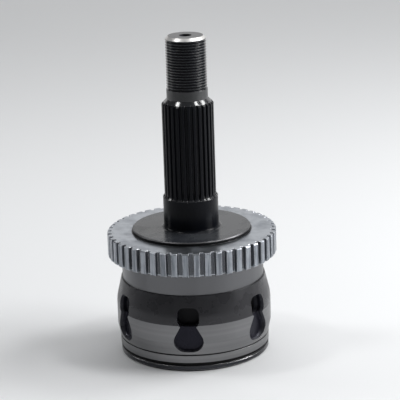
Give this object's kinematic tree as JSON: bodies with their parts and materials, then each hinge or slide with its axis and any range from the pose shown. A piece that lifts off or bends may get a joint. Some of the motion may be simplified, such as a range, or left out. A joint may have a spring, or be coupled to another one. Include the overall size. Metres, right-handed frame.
{
  "type": "cv joint",
  "caption": "Fixed ball-type constant-velocity joint: bell with splined, threaded stub shaft, toothed sensor ring, cage, inner race, balls and clip.",
  "frame": {"origin": "on the joint axis, in the plane of the bell's open rim, on which the part stands", "axes": "+Z along the stub shaft, from the bell's mouth towards the threaded end; +Y is the axis of the modelled bend"},
  "size_m": [0.0924, 0.0924, 0.1753],
  "materials": {
    "forged_race": "turned steel with black, oiled stub shaft and a black forged band",
    "plated_ring": "bright zinc plate",
    "cage_steel": "ground and phosphated",
    "race_steel": "ground",
    "spring_wire": "blued spring wire",
    "bearing_ball": "polished"
  },
  "bodies": {
    "outer_race": {"outer_race": "forged_race", "tone_ring": "plated_ring"},
    "inner_race": {"inner_race": "race_steel", "retaining_clip": "spring_wire"},
    "ball_cage": {"ball_cage": "cage_steel"},
    "ball_1": {"ball_1": "bearing_ball"},
    "ball_2": {"ball_2": "bearing_ball"},
    "ball_3": {"ball_3": "bearing_ball"},
    "ball_4": {"ball_4": "bearing_ball"},
    "ball_5": {"ball_5": "bearing_ball"},
    "ball_6": {"ball_6": "bearing_ball"}
  },
  "joints": [
    {"name": "shaft_bend", "type": "hinge", "parent": "outer_race", "child": "inner_race", "pos_m": [0, 0, 0.021], "axis": [0, 1, 0], "range_deg": [-45, 45]},
    {"name": "cage_tilt", "type": "hinge", "parent": "outer_race", "child": "ball_cage", "pos_m": [0, 0, 0.021], "axis": [0, 1, 0], "range_deg": [-22.5, 22.5]},
    {"name": "ball_1_track", "type": "hinge", "parent": "outer_race", "child": "ball_1", "pos_m": [0, 0, 0.0175], "axis": [0, 1, 0], "range_deg": [-22.5, 22.5]},
    {"name": "ball_2_track", "type": "hinge", "parent": "outer_race", "child": "ball_2", "pos_m": [0, 0, 0.0175], "axis": [-0.866, 0.5, 0], "range_deg": [-11.25, 11.25]},
    {"name": "ball_3_track", "type": "hinge", "parent": "outer_race", "child": "ball_3", "pos_m": [0, 0, 0.0175], "axis": [-0.866, -0.5, 0], "range_deg": [-11.25, 11.25]},
    {"name": "ball_4_track", "type": "hinge", "parent": "outer_race", "child": "ball_4", "pos_m": [0, 0, 0.0175], "axis": [0, -1, 0], "range_deg": [-22.5, 22.5]},
    {"name": "ball_5_track", "type": "hinge", "parent": "outer_race", "child": "ball_5", "pos_m": [0, 0, 0.0175], "axis": [0.866, -0.5, 0], "range_deg": [-11.25, 11.25]},
    {"name": "ball_6_track", "type": "hinge", "parent": "outer_race", "child": "ball_6", "pos_m": [0, 0, 0.0175], "axis": [0.866, 0.5, 0], "range_deg": [-11.25, 11.25]}
  ],
  "couplings": [
    {"joint": "cage_tilt", "follows": "shaft_bend", "ratio": 0.5},
    {"joint": "ball_1_track", "follows": "shaft_bend", "ratio": 0.5},
    {"joint": "ball_2_track", "follows": "shaft_bend", "ratio": 0.25},
    {"joint": "ball_3_track", "follows": "shaft_bend", "ratio": -0.25},
    {"joint": "ball_4_track", "follows": "shaft_bend", "ratio": -0.5},
    {"joint": "ball_5_track", "follows": "shaft_bend", "ratio": -0.25},
    {"joint": "ball_6_track", "follows": "shaft_bend", "ratio": 0.25}
  ]
}
